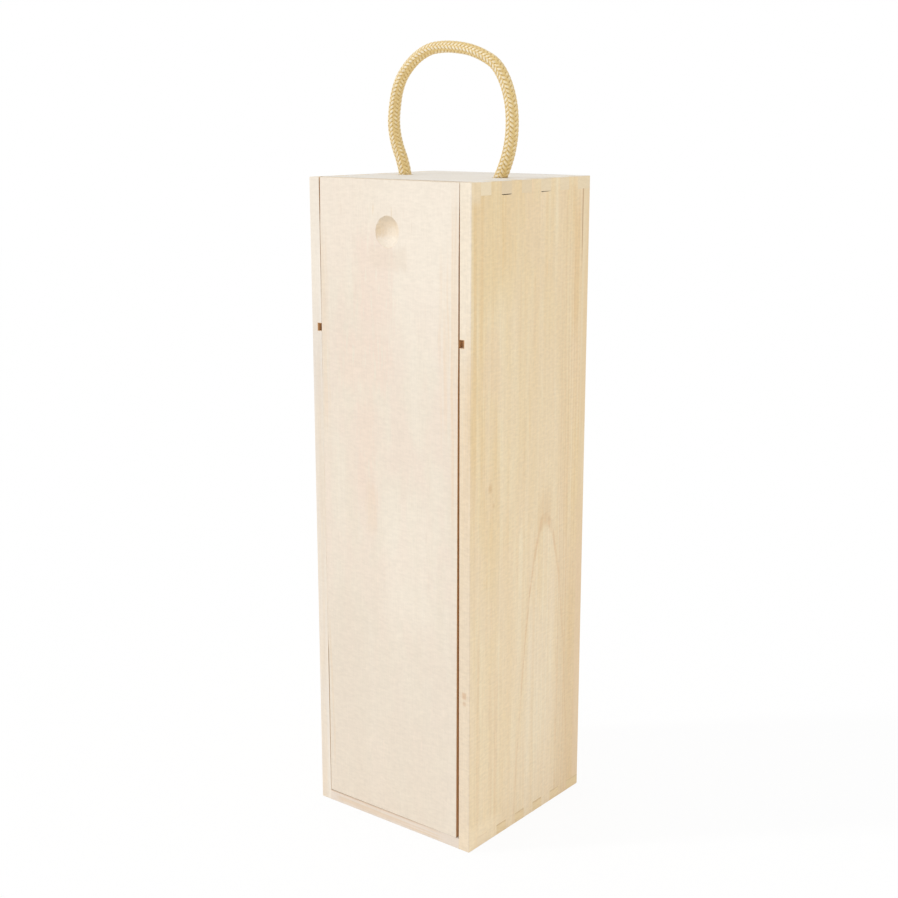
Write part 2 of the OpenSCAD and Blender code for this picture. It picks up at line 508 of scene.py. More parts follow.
def mark(low, high, soft, tone, strength, ragged=0.3, grain=None):
    # a patch of another tone: its box in mm, how far its border fades each way in mm, the tone and
    # how strong it is, how uneven the border is, and how many streaks to the mm break it up
    return {"low": low, "high": high, "soft": soft, "tone": tone, "strength": strength,
            "ragged": ragged, "grain": grain}


def markShare(tree, place, ragged, spot):
    # 1 inside the box of a mark and 0 past its border
    rough = spot["ragged"]
    moved = vectorCalc(tree, "MULTIPLY_ADD", ragged, (rough, rough, rough), place)
    below = vectorCalc(tree, "SUBTRACT", spot["low"], moved)
    above = vectorCalc(tree, "SUBTRACT", moved, spot["high"])
    outside = vectorCalc(tree, "MAXIMUM", vectorCalc(tree, "MAXIMUM", below, above), (0, 0, 0))
    away = vectorCalc(tree, "LENGTH", vectorCalc(tree, "DIVIDE", outside, spot["soft"]))
    return product(tree, rise(tree, away, 1.0, 0.0), spot["strength"])


grainLook = {
    # waves per mm across, through and along the board, their detail, a seed, and for some of them
    # the two levels of the noise between which the share grows from 0 to 1
    "wander": ((0.03, 0.03, 0.006), 1.0, 0),
    "wobble": ((0.2, 0.2, 0.04), 3.0, 3),
    "uneven": ((0.11, 0.02, 0.001), 2.0, 7),
    "fade": ((0.06, 0.06, 0.007), 1.0, 11, 0.4, 0.68),
    "streaks": ((0.22, 0.22, 0.009), 4.0, 17, 0.28, 0.74),
    "mottle": ((0.075, 0.075, 0.026), 5.0, 23, 0.4, 0.62),
    "fibres": ((1.9, 1.9, 0.13), 4.0, 29),
    "pores": ((5.5, 5.5, 0.3), 1.0, 31, 0.64, 0.78),
    "endPores": ((2.2, 2.2, 0.02), 3.0, 37, 0.5, 0.7),
    "figure": ((0.3, 0.3, 0.75), 4.0, 41),
    "ragged": ((0.5, 0.5, 0.06), 3.0, 43),
    "lineRough": ((0.4, 0.4, 0.12), 3.0, 47),
    "broken": ((0.5, 0.5, 0.07), 2.0, 53, 0.3, 0.6),
    "comb": ((None, None, 0.005), 2.0, 59, 0.42, 0.6),  # each mark gives its own waves across
    "wobbleBy": 0.45,  # mm
    "unevenBy": 0.45,  # share of a ring
    "lineRoughBy": 0.12,  # mm
    "endRingStep": 2.6,  # mm between the arcs of the end grain
    "bump": 0.15 * mm,
}


def woodMaterial(name, look):
    material, tree = newMaterial(name)
    ways, seed, tones = look["ways"], look["seed"], look["tones"]

    def grain(kind, at, output="Fac", across=None):
        perMm, detail, offset, *levels = grainLook[kind]
        perMm = (across or perMm[0], across or perMm[1], perMm[2])
        waves = cloud(tree, at, perMm, detail, seed + offset, output)
        return rise(tree, waves, *levels) if levels else waves

    def tone(key):
        return paint(*tones[key])

    texture = addNode(tree, "TexCoord")
    inMm = vectorCalc(tree, "MULTIPLY", texture.outputs["Object"], (1000, 1000, 1000))
    place, (across, through, along) = boardSpace(tree, inMm, ways)
    facing = boardSpace(tree, texture.outputs["Normal"], ways)[1]
    faceShare = rise(tree, calc(tree, "ABSOLUTE", facing[1]), 0.5, 0.85)
    endShare = rise(tree, calc(tree, "ABSOLUTE", facing[2]), 0.5, 0.85)

    wander = centred(tree, grain("wander", place), look["wander"])
    wobble = centred(tree, grain("wobble", place), grainLook["wobbleBy"])
    level = calc(tree, "ADD", calc(tree, "ADD", across, wander), wobble)
    grainPlace = addNode(tree, "CombineXYZ", {"X": level, "Y": through, "Z": along}).outputs[0]

    # colour: soft streaks along the grain, mottled patches, and straight rings in uneven steps
    streaks, mottle = grain("streaks", grainPlace), grain("mottle", place)
    uneven = centred(tree, grain("uneven", place), grainLook["unevenBy"])
    rings = ringShade(tree, calc(tree, "ADD", calc(tree, "DIVIDE", level, look["ringStep"]), uneven))
    rings = product(tree, rings, grain("fade", place))
    fibres, pores, figure = grain("fibres", place), grain("pores", place), grain("figure", place)

    edge = blendPaint(tree, streaks, tone("edgePale"), tone("edgeStripe"))
    face = blendPaint(tree, product(tree, streaks, look["streakStrength"]), tone("pale"), tone("stripe"))
    face = blendPaint(tree, product(tree, mottle, look["mottleStrength"]), face, tone("patch"))
    skin = blendPaint(tree, faceShare, edge, face)
    skin = blendPaint(tree, product(tree, rings, look["ringStrength"]), skin, tone("late"))
    ragged = vectorCalc(tree, "MULTIPLY_ADD", grain("ragged", place, "Color"), (4, 4, 4), (-2, -2, -2))
    lineRough = centred(tree, grain("lineRough", place), grainLook["lineRoughBy"])
    broken = calc(tree, "MULTIPLY_ADD", grain("broken", place), 0.55, 0.45)
    for arch in look.get("arches", []):
        line, inside = archShares(tree, level, along, arch, lineRough)
        within = rise(tree, along, arch["innerFrom"], arch["innerFrom"] - 90)
        skin = blendPaint(tree, product(tree, inside, arch["inner"], within), skin, tone("inner"))
        skin = blendPaint(tree, product(tree, line, broken, arch["strength"]), skin, tone("line"))
    for spot in look.get("marks", []):
        share = markShare(tree, inMm, ragged, spot)
        if spot["grain"]:
            share = product(tree, share, grain("comb", grainPlace, across=spot["grain"]))
        skin = blendPaint(tree, share, skin, paint(*spot["tone"]))

    # end grain: arcs of rings with open pores
    endAcross = calc(tree, "SUBTRACT", across, look["pith"][0])
    endThrough = calc(tree, "SUBTRACT", through, look["pith"][1])
    endRadius = calc(tree, "SQRT", calc(tree, "MULTIPLY_ADD", endAcross, endAcross,
                                        product(tree, endThrough, endThrough)))
    endTurn = calc(tree, "DIVIDE", endRadius, grainLook["endRingStep"])
    arcs = ringShade(tree, calc(tree, "ADD", endTurn, wobble))
    ends = blendPaint(tree, product(tree, arcs, look["arcStrength"]), tone("end"), tone("endLate"))
    ends = blendPaint(tree, product(tree, grain("endPores", place), 0.22), ends, tone("pore"))
    skin = blendPaint(tree, endShare, skin, ends)
    for spot in look.get("endMarks", []):
        share = product(tree, markShare(tree, inMm, ragged, spot), endShare)
        skin = blendPaint(tree, share, skin, paint(*spot["tone"]))

    # fine grain: pores darken, fibres and the faint figure across the grain only shade
    skin = blendPaint(tree, product(tree, pores, look["poreStrength"]), skin, tone("pore"))
    shade = calc(tree, "MULTIPLY_ADD", fibres, look["fibreShade"], 1 - look["fibreShade"] / 2)
    shade = calc(tree, "ADD", shade, centred(tree, figure, look["figureShade"] / 2))
    skin = addNode(tree, "VectorMath", {0: skin, "Scale": shade}, operation="SCALE").outputs[0]

    hollows = calc(tree, "ADD", product(tree, pores, 0.5), product(tree, rings, 0.25))
    relief = calc(tree, "SUBTRACT", product(tree, fibres, 0.6), hollows)
    bump = addNode(tree, "Bump", {
        "Strength": look["relief"], "Distance": grainLook["bump"], "Height": relief})
    rough = calc(tree, "MULTIPLY_ADD", fibres, 0.2, 0.55)
    shader = addNode(tree, "BsdfPrincipled", {
        "Base Color": skin, "Roughness": rough, "Specular IOR Level": 0.32, "Normal": bump.outputs[0]})
    finishMaterial(tree, shader.outputs[0])
    return material


alongUp = ("Y", "X", "Z")  # across, through and along, for a side board
faceUp = ("X", "Y", "Z")  # for the lid and the back
alongWide = ("Y", "Z", "X")  # for the top, the bottom and the neck rest

sideTones = {
    "pale": (246, 229, 195), "stripe": (240, 214, 168), "patch": (242, 218, 184), "late": (232, 200, 153),
    "edgePale": (237, 223, 201), "edgeStripe": (231, 211, 183), "pore": (212, 178, 132),
    "end": (231, 219, 198), "endLate": (221, 205, 179), "inner": (245, 230, 205), "line": (225, 187, 139),
}
leftTones = dict(sideTones, pale=(238, 221, 188), stripe=(232, 206, 162), patch=(234, 210, 177),
                 edgePale=(234, 226, 216), edgeStripe=(228, 216, 202))
backTones = dict(sideTones, edgePale=(240, 220, 184), edgeStripe=(236, 210, 168))
# the top board's faces are paler and greyer than the sides: partly their own tone, partly a painted sheen
# of the white surroundings seen at a low angle; the bottom board's tones start from these
topTones = {
    "pale": (234, 229, 221), "stripe": (227, 220, 208), "patch": (230, 223, 212), "late": (218, 207, 190),
    "edgePale": (233, 219, 203), "edgeStripe": (227, 210, 190), "pore": (206, 182, 150),
    "end": (240, 221, 187), "endLate": (229, 208, 171),
}
bottomTones = dict(topTones, edgePale=(233, 221, 209), edgeStripe=(228, 213, 197), end=(242, 220, 180),
                   endLate=(227, 200, 155))
lidTones = {
    "pale": (237, 226, 209), "stripe": (231, 217, 198), "patch": (237, 220, 204), "late": (227, 209, 186),
    "edgePale": (226, 196, 160), "edgeStripe": (214, 182, 144), "pore": (214, 190, 160),
    "end": (232, 217, 194), "endLate": (216, 196, 166),
}
sawnAndGapShade = (206, 160, 106)  # bare saw cuts inside the joints, their brown partly painted shade of the narrow gaps
# the cut ends of the neck rest's slots: brown of the cut, partly painted shade inside them
slotCutAndShade = (202, 152, 102)
# the lid's cut edges and tongues: brown of the cut, partly painted shade of the gaps around them
lidCutAndGapShade, tongueCutAndGapShade = (204, 158, 106), (204, 158, 112)
# painted shade for the inside of the rope holes
holeShade = (146, 100, 60)
speck, dent = (212, 174, 124), (210, 168, 128)

plainBoard = {
    "body": "box", "streakStrength": 1.0, "mottleStrength": 0.8, "ringStrength": 0.2, "arcStrength": 0.08,
    "poreStrength": 0.2, "fibreShade": 0.13, "figureShade": 0.06, "relief": 0.3,
}
rightSideLook = {
    "piece": "right_board", "slot": "side_wood", "tones": sideTones, "ways": alongUp, "seed": 2.0,
    "wander": 0.9, "ringStep": 4.6, "pith": (12, 170), "mottleStrength": 0.6, "ringStrength": 0.18,
    "fibreShade": 0.14, "figureShade": 0.12,
    "arches": [
        {"across": 14.8, "top": 167, "reach": 35, "lean": 0.072, "shift": 35.2, "half": 0.42, "haze": 1.8,
         "legs": (1.0, 0.85), "strength": 1.0, "inner": 0.28, "innerFrom": 160},
        {"across": 13, "top": 300, "reach": 35, "lean": 0.06, "shift": 35.2, "half": 0.5, "haze": 2.4,
         "legs": (0.3, 0.25), "strength": 0.5, "inner": 0.3, "innerFrom": 300},
    ],
    "marks": [
        mark((46, -52, 0), (54, 52, 345), (1, 1, 1), (232, 203, 156), 0.22, grain=0.9),
        mark((46, -50, 305), (54, -15, 343), (1, 6, 28), (237, 211, 161), 0.42, 1.5),
        mark((46, -49.5, 230), (54, -43.5, 345), (1, 3, 70), (237, 208, 159), 0.8, 0.9, grain=0.35),
        mark((46, -31, 312), (54, -17, 345), (1, 3, 34), (236, 207, 156), 0.75, 0.9, grain=0.45),
        mark((46, 38.5, 280), (54, 42.5, 325), (1, 1.5, 24), (233, 199, 147), 0.6, 0.6, grain=0.7),
        mark((46, -25, 195), (54, -17, 292), (1, 2.5, 30), (244, 227, 192), 0.4, 1.2),
        mark((46, -12, 200), (54, 33, 310), (1, 8, 40), (239, 217, 179), 0.5, 2.5),
        mark((46, -50, 0), (54, -12, 120), (1, 14, 90), (243, 224, 192), 0.4, 2.0),
        mark((46, -45, 0), (54, -44, 95), (1, 1.8, 45), (228, 194, 148), 0.3, 0.9),
        mark((46, -34, 18), (54, -29, 82), (1, 3, 26), (228, 196, 152), 0.35, 1.2, grain=0.6),
        mark((46, 30, 0), (54, 54, 90), (1, 4, 110), (231, 205, 166), 0.5, 1.6),
        mark((46, 29, 0), (54, 54, 345), (1, 5, 1), (228, 195, 150), 0.35, 1.4, grain=1.1),
        mark((46, 2, 52), (54, 16, 104), (1, 6, 34), (244, 231, 207), 0.15, 2.0),
        mark((46, 14.5, 173), (54, 17, 180), (1, 5, 15), (222, 190, 146), 0.27, 1.8),
        mark((46, 45.3, 324), (54, 46.2, 343), (1, 0.4, 30), (166, 120, 76), 0.55, 0.2),
        mark((52.5, -35.6, 195.6), (53.5, -34.8, 197), (1, 2.1, 2.6), speck, 0.42),
        mark((52.5, -32.4, 186.4), (53.5, -31.8, 187), (1, 1.2, 1.5), speck, 0.35, 0.2),
        # painted shade along the foot of the board, where it stands on the floor
        mark((46, -51, 0), (54, 52.5, 0.4), (1, 1, 2.6), (218, 186, 138), 0.1, 0.15),
        mark((46, -53, 0), (54, -28, 9), (1, 8, 8), (252, 234, 202), 0.5, 1.0),
        mark((46, -53, 343), (54, -45.5, 351), (1, 1.5, 6), (247, 231, 202), 0.45, 0.5),
        # painted light towards the top of the board's front edge, and painted shade towards its bottom
        mark((46, -53, 305), (54, -51.7, 350), (1, 0.2, 70), (244, 233, 216), 0.75, 0),
        mark((46, -53, 0), (54, -51.7, 110), (1, 0.2, 90), (227, 210, 187), 0.6, 0),
        mark((49, -53, 87.2), (50, -51.5, 89.2), (1.4, 0.5, 1.6), dent, 0.55, 0.25),
        mark((49.4, -53, 83.4), (50, -51.5, 84.4), (1.2, 0.5, 1.2), dent, 0.4, 0.25),
        # painted shade of the gap beside the lid and inside the slot end, with the brown of the cut faces
        mark((45.8, -51.7, 6.4), (46.7, -45.5, 343), (0.4, 0.2, 0.4), sawnAndGapShade, 0.9, 0.05),
        mark((46, -53, 269.9), (49, -44.2, 274.1), (0.2, 0.3, 0.15), slotCutAndShade, 0.95, 0.05),
    ],
}
leftSideLook = {
    "piece": "left_board", "slot": "side_wood", "tones": leftTones, "ways": alongUp, "seed": 9.0,
    "wander": 2.0, "ringStep": 5.2, "pith": (-20, -160),
    "arches": [
        {"across": -8, "top": 236, "reach": 35, "lean": 0.06, "shift": 35.2, "half": 0.3, "haze": 1.8,
         "legs": (0.9, 0.8), "strength": 0.8, "inner": 0.6, "innerFrom": 230},
    ],
    "marks": [
        mark((-54, -45, 0), (-46, -10, 200), (1, 12, 90), (247, 227, 195), 0.5, 2.0),
        mark((-54, 26, 120), (-46, 54, 345), (1, 6, 90), (236, 206, 165), 0.5, 1.2, grain=0.8),
        # painted light towards the top of the board's front edge
        mark((-54, -53, 305), (-46, -51.7, 350), (1, 0.2, 60), (244, 234, 219), 0.75, 0),
        # painted shade of the gap beside the lid and inside the slot end, with the brown of the cut faces
        mark((-46.7, -51.7, 288), (-45.8, -45.5, 343), (0.4, 0.2, 12), sawnAndGapShade, 0.85, 0.05),
        mark((-46.7, -51.7, 6.4), (-45.8, -45.5, 84), (0.4, 0.2, 10), sawnAndGapShade, 0.6, 0.05),
        mark((-49, -53, 269.9), (-46, -44.2, 274.1), (0.2, 0.3, 0.15), slotCutAndShade, 0.95, 0.05),
    ],
}
backLook = {
    "piece": "back_board", "slot": "back_wood", "tones": backTones, "ways": faceUp, "seed": 16.0,
    "wander": 3.0, "ringStep": 6.0, "pith": (10, 190),
    "arches": [
        {"across": -12, "top": 262, "reach": 35, "lean": 0.05, "shift": 35.2, "half": 0.3, "haze": 1.8,
         "legs": (0.9, 0.8), "strength": 0.8, "inner": 0.5, "innerFrom": 255},
        {"across": -9, "top": 118, "reach": 35, "lean": 0.07, "shift": 35.2, "half": 0.3, "haze": 1.8,
         "legs": (0.8, 0.9), "strength": 0.8, "inner": 0.5, "innerFrom": 110},
    ],
    "marks": [
        mark((49, 45, 0), (54, 53, 120), (2, 1, 90), (236, 208, 174), 0.6, 0.6),
    ],
}
topLook = {
    "piece": "top_board", "slot": "end_wood", "tones": topTones, "ways": alongWide, "seed": 21.0,
    "wander": 1.5, "ringStep": 5.0, "pith": (30, 280), "streakStrength": 0.9,
    "mottleStrength": 0.4, "ringStrength": 0.3, "arcStrength": 0.25, "poreStrength": 0.15,
    "fibreShade": 0.1, "figureShade": 0.04, "relief": 0.25,
    "marks": [
        # painted shade inside the two rope holes
        mark((27.6, -4, 343), (36.4, 4, 349.8), (0.2, 0.2, 0.15), holeShade, 0.85, 0),
        mark((-35.4, -4, 343), (-26.6, 4, 349.8), (0.2, 0.2, 0.15), holeShade, 0.85, 0),
        mark((-46, 51.6, 343), (46, 53, 350), (8, 0.2, 1), (239, 217, 181), 0.7, 0.2),
    ],
    "endMarks": [
        mark((52, -45, 343), (54, -35, 350), (0.5, 0.3, 1), (248, 231, 198), 0.6, 0.1),
        mark((52, -28, 343), (54, -18, 350), (0.5, 0.3, 1), (228, 204, 166), 0.45, 0.1),
        mark((52, -11, 343), (54, -1, 350), (0.5, 0.3, 1), (233, 210, 173), 0.45, 0.1),
    ],
}
bottomLook = {
    "piece": "bottom_board", "slot": "end_wood", "tones": bottomTones, "ways": alongWide,
    "seed": 27.0, "wander": 1.5, "ringStep": 5.0, "pith": (-10, 90), "streakStrength": 0.7,
    "mottleStrength": 0.4, "ringStrength": 0.25, "arcStrength": 0.3,
    "marks": [
        mark((-46, 51.6, 0), (46, 53, 7), (8, 0.2, 1), (237, 214, 177), 0.7, 0.2),
        mark((-36, -53, 1.6), (30, -51.5, 4.6), (8, 0.5, 1.4), (224, 200, 170), 0.55, 0.6, grain=0.8),
        mark((-46, -52.6, 5.6), (12, -45, 6.2), (26, 0.4, 0.25), (208, 174, 136), 0.5, 0.1),
    ],
    "endMarks": [
        mark((52, -51, 5.7), (54, 53, 6.2), (0.5, 1, 0.8), (205, 172, 122), 0.5, 0.4),
        # painted shade along the foot of the finger ends, where they stand on the floor
        mark((52, -51, 0), (54, 53, 0.4), (0.5, 1, 2.4), (218, 186, 138), 0.2, 0.2),
        mark((52, -46, 0), (54, -34, 7), (0.5, 0.3, 1), (250, 232, 204), 0.6, 0.1),
        mark((52, 38, 0), (54, 52, 7), (0.5, 0.3, 1), (231, 206, 160), 0.4, 0.1),
    ],
}
neckRestLook = {
    "piece": "neck_board", "slot": "thin_board", "tones": sideTones, "ways": alongWide,
    "seed": 33.0, "wander": 2.0, "ringStep": 6.0, "pith": (10, 150), "ringStrength": 0.3,
    "arcStrength": 0.3, "poreStrength": 0.25,
}
lidBoardLook = {
    "piece": "lid_board", "slot": "lid_wood", "body": "lid", "tones": lidTones, "ways": faceUp,
    "seed": 41.0, "wander": 2.2, "ringStep": 5.5, "pith": (15, 90), "streakStrength": 0.5,
    "mottleStrength": 0.6, "ringStrength": 0.08, "arcStrength": 0.3, "poreStrength": 0.12,
    "fibreShade": 0.105, "figureShade": 0.085, "relief": 0.25,
    "marks": [
        # painted light towards the top of the lid's face, and painted shade towards its bottom
        mark((14, -53, 320), (46, -48, 351), (34, 2, 100), (246, 237, 222), 0.6, 2.5),
        mark((-46, -53, 330), (46, -48, 351), (10, 2, 60), (243, 231, 215), 0.6, 2.5),
        mark((-46, -53, 0), (46, -48, 70), (2, 2, 110), (230, 218, 201), 0.6, 2.5),
        mark((-38, -53, 16), (-22, -48, 108), (12, 2, 40), (228, 215, 197), 0.45, 3.0),
        mark((0, -53, 20), (30, -48, 50), (12, 2, 26), (229, 216, 198), 0.35, 3.0),
        mark((2, -53, 128), (22, -48, 172), (14, 2, 26), (243, 233, 217), 0.35, 3.0),
        mark((-17, -53, 284), (-1, -48, 314), (8, 2, 18), (240, 216, 200), 0.42, 4.0),
        mark((-28, -53, 250), (-4, -48, 264), (10, 2, 14), (240, 216, 199), 0.4, 5.0),
        mark((-19, -53, 192), (-13, -48, 228), (6, 2, 20), (238, 214, 196), 0.4, 3.0),
        mark((-14, -53, 172), (-11, -48, 184), (4, 2, 12), (232, 206, 178), 0.25, 2.5),
        mark((35.5, -53, 238), (39.5, -48, 292), (3, 2, 40), (237, 212, 182), 0.5, 1.4, grain=0.22),
        mark((41, -53, 200), (46, -48, 318), (1.5, 2, 40), (236, 212, 182), 0.5, 1.2, grain=0.5),
        mark((-45.6, -53, 232), (-42.5, -48, 306), (2.5, 2, 26), (232, 211, 184), 0.4, 1.2, grain=0.5),
        mark((-45.6, -53, 36), (-43.5, -48, 96), (2.5, 2, 22), (230, 209, 180), 0.45, 1.2, grain=0.5),
        # painted shade on the upper part and left side of the thumb recess, partly the darker cut end
        # grain there, and a darker painted line under its top rim
        mark((-9, -51.7, 325), (4, -48.5, 334), (5, 0.22, 7), (228, 205, 172), 0.65),
        mark((-9, -51.7, 314), (-5.5, -48.5, 334), (2.5, 0.22, 3), (233, 210, 176), 0.5, 0.1, grain=1.4),
        mark((-9, -51.8, 330), (9, -50.2, 335), (1, 0.15, 1.5), (212, 196, 172), 0.5, 0.05),
        # painted light on the lower part of the thumb recess, with a painted highlight towards its lower
        # right
        mark((-6, -51.6, 314), (9, -48.5, 319), (2, 0.3, 4), (242, 231, 214), 0.8, 0.15),
        mark((0, -51.7, 321), (3, -48.5, 324.5), (4.5, 0.3, 4), (252, 241, 224), 0.5, 0.7),
        mark((-9, -53, 308), (10, -48, 314), (6, 2, 4.5), (231, 215, 196), 0.4, 1.5),
        # painted shade of the gaps on the lid's edges and tongues, with the brown of the cut faces
        mark((44.4, -51.7, 0), (47, -48.5, 351), (0.3, 0.2, 1), lidCutAndGapShade, 0.9, 0.05),
        mark((-47, -51.7, 288), (-44.4, -48.5, 351), (0.3, 0.2, 12), lidCutAndGapShade, 0.8, 0.05),
        mark((-50, -48.95, 0), (-45.4, -45.6, 351), (0.5, 0.15, 1), tongueCutAndGapShade, 0.75, 0.05),
        mark((45, -48.95, 0), (50, -45.6, 351), (0.5, 0.15, 1), tongueCutAndGapShade, 0.75, 0.05),
    ],
}
boardLooks = {
    "right_side": rightSideLook,
    "left_side": leftSideLook,
    "back_panel": backLook,
    "top_panel": topLook,
    "bottom_panel": bottomLook,
    "neck_rest": neckRestLook,
    "lid": lidBoardLook,
}

easeLook = {
    "widest": 0.45 * mm,  # rounding of the box's outer edges
    "joint": 0.1,  # share of it on every other edge
    "sharp": 0.6,  # the least angle of an edge that is eased, in radians
    "flat": 0.999,  # a face whose normal comes closer than this to x, y or z stays flat
}
weldGap = 1e-6
onPlane = 1e-5
sameWay = math.radians(1)


def joinFlatFaces(form):
    bmesh.ops.dissolve_limit(form, angle_limit=sameWay, verts=form.verts[:], edges=form.edges[:])


def cutAcross(form, place, way):
    bmesh.ops.bisect_plane(form, geom=form.verts[:] + form.edges[:] + form.faces[:], dist=weldGap / 10,
                           plane_co=place, plane_no=way)


def boardForm(nodeName):
    form = bmesh.new()
    form.from_mesh(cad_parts[nodeName].data)
    bmesh.ops.remove_doubles(form, verts=form.verts[:], dist=weldGap)
    joinFlatFaces(form)
    return form


def easeEdges(form, look):
    outer = (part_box("top_panel")[1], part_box("bottom_panel")[0])
    weights = form.edges.layers.float.new("bevel_weight_edge")
    for edge in form.edges:
        if not edge.is_manifold or not edge.is_convex or edge.calc_face_angle() < look["sharp"]:
            continue
        ends = [v.co for v in edge.verts]
        shared = sum(all(abs(p[axis] - limit[axis]) < onPlane for p in ends)
                     for axis in range(3) for limit in outer)
        edge[weights] = 1.0 if shared >= 2 else look["joint"]


def finishBoard(nodeName, form):
    look = dict(plainBoard, **boardLooks[nodeName])
    easeEdges(form, easeLook)
    mesh = bpy.data.meshes.new(look["piece"])
    for face in form.faces:
        face.smooth = max(abs(value) for value in face.normal) < easeLook["flat"]
    form.to_mesh(mesh)
    form.free()
    board = addObject(look["piece"], mesh, woodMaterial(look["piece"], look))
    ease = board.modifiers.new("ease", "BEVEL")
    ease.limit_method = "WEIGHT"
    ease.width = easeLook["widest"]
    ease.segments = 2
    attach(board, look["body"])
    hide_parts(nodeName)
    print(look["piece"], len(mesh.polygons), "faces")
    return board


looseJointLook = {
    # all in mm
    "openFrom": (-26.2, -20.2),  # the stretch in which the front joint stays open
    "closed": (-27.4, -18.9, 15.1),  # corners of the sockets that are drawn together
    "near": 0.2,  # what lies this close to one of them is moved
    "heights": (342.6, 343.4),
    "outside": 52.9,
    "up": 0.3,
}
holeLook = {
    "at": ropeLook["holeAt"],
    "reach": 4.3 * mm,  # the rim lies this close to the hole's middle
    "wider": 1.22,
}


def closeLooseJoint(form, look):
    # the front one of the right board's two loose joints is open in its middle, the rear one at one end
    for cut in look["openFrom"]:
        cutAcross(form, (0, cut * mm, 0), (0, 1, 0))
    low, high = look["heights"]
    for v in form.verts:
        x, y, z = v.co / mm
        away = min(abs(y - at) for at in look["closed"])
        if x > look["outside"] and low < z < high and away < look["near"]:
            v.co.z += look["up"] * mm


def widenHoles(form, look):
    # the rope has worn each hole wider on its right side
    for v in form.verts:
        for middle in (-look["at"], look["at"]):
            aside = v.co.x - middle
            if 0 < aside < look["reach"] and abs(v.co.y) < look["reach"]:
                v.co.x = middle + aside * look["wider"]


for nodeName in boardLooks:
    if nodeName != "lid":
        blank = boardForm(nodeName)
        if nodeName == "top_panel":
            widenHoles(blank, holeLook)
        if nodeName == "right_side":
            closeLooseJoint(blank, looseJointLook)
        finishBoard(nodeName, blank)


lidLook = {
    # how far each edge of the lid's face stands out, as height and distance in mm
    "left": [(6, 0), (84, 0), (104, 0.5), (140, 0.65), (180, 0.77), (220, 0.88), (262, 0.94), (282, 0.95),
             (290, 0.88), (298, 0.78), (325, 0.8), (335, 0.58), (350, 0.45)],
    "right": [(6, 0), (250, 0), (265, 0.15), (310, 0.18), (325, 0.34), (350, 0.56)],
    "rough": 0.03,  # and how uneven it is, in mm
    "roughWaves": (2.2, 0.4),  # mm to a wave up the edge, and waves to the mm through it
    "seeds": {"left": 3.0, "right": 17.0},
    "cutEvery": 1.5,  # mm between the cuts that let the edges bend
    "edge": (-2, 0.3),  # from how far inside to how far outside the straight edge is moved, in mm
    "foot": 0.4,  # height of the bottom edge's own faces
    "lower": (0.18, 0.22),  # how far they come down at the left and right ends
    "halfWidth": 46,
    "lip": 3.5,  # thickness of the lid's face, in front of its tongues
}
recessLook = {
    "within": 20 * mm,  # the plain dish lies this close to the lid's middle
    "rings": 44,
    "spokes": 144,
    "past": 1.12,  # how far past the rim the cutting form goes, as a share of the rim's angle
    "tall": 1.03,  # a little higher than it is wide
    "up": 0.3 * mm,
    "proud": 3 * mm,  # how far the cutting form stands out in front of the face
    # roughness of the carved wood: its height, waves per mm across and along the grain, and a seed
    "gouge": (0.07 * mm, (0.5, 0.22), 3.0),
    "nick": (0.07 * mm, (2.2, 0.9), 9.0),
}


def edgeShift(table, height):
    for (low, first), (high, second) in zip(table, table[1:]):
        if height <= high:
            share = min(1, max(0, (height - low) / (high - low)))
            share = share * share * (3 - 2 * share)
            return first + (second - first) * share
    return table[-1][1]


def fillRecess(form, look):
    # takes the plain dish out of the lid's face, and says where it was
    front = min(v.co.y for v in form.verts)
    dish = [v for v in form.verts if abs(v.co.x) < look["within"]]
    rim = [v for v in dish if v.co.y - front < onPlane]
    low = Vector((min(v.co.x for v in rim), front, min(v.co.z for v in rim)))
    high = Vector((max(v.co.x for v in rim), front, max(v.co.z for v in rim)))
    depth = max(v.co.y for v in dish) - front
    bmesh.ops.delete(form, geom=[v for v in dish if v not in rim], context="VERTS")
    bmesh.ops.contextual_create(form, geom=[e for e in form.edges if e.is_boundary])
    bmesh.ops.recalc_face_normals(form, faces=form.faces[:])
    joinFlatFaces(form)
    return (low + high) / 2, (high.x - low.x) / 2, depth


def bendEdges(form, look):
    bottom, top = min(v.co.z for v in form.verts), max(v.co.z for v in form.verts)
    height = bottom + look["cutEvery"] * mm
    while height < top:
        cutAcross(form, (0, 0, height), (0, 0, 1))
        height += look["cutEvery"] * mm
    front = min(v.co.y for v in form.verts)
    lip = front + look["lip"] * mm
    widest = max(abs(v.co.x) for v in form.verts if v.co.y < front + mm)
    inside, outside = look["edge"]
    length, waves = look["roughWaves"]
    for v in form.verts:
        if v.co.y < lip and inside * mm < abs(v.co.x) - widest < outside * mm:
            side = "left" if v.co.x < 0 else "right"
            place = (v.co.z / mm / length, v.co.y / mm * waves, look["seeds"][side])
            rough = noise.noise(Vector(place))
            shift = edgeShift(look[side], v.co.z / mm) + rough * look["rough"] * 2
            v.co.x += math.copysign(shift * mm, v.co.x)
        if v.co.z < bottom + look["foot"] * mm:
            share = min(1, max(0, (v.co.x / mm + look["halfWidth"]) / (2 * look["halfWidth"])))
            v.co.z -= (look["lower"][0] + share * (look["lower"][1] - look["lower"][0])) * mm


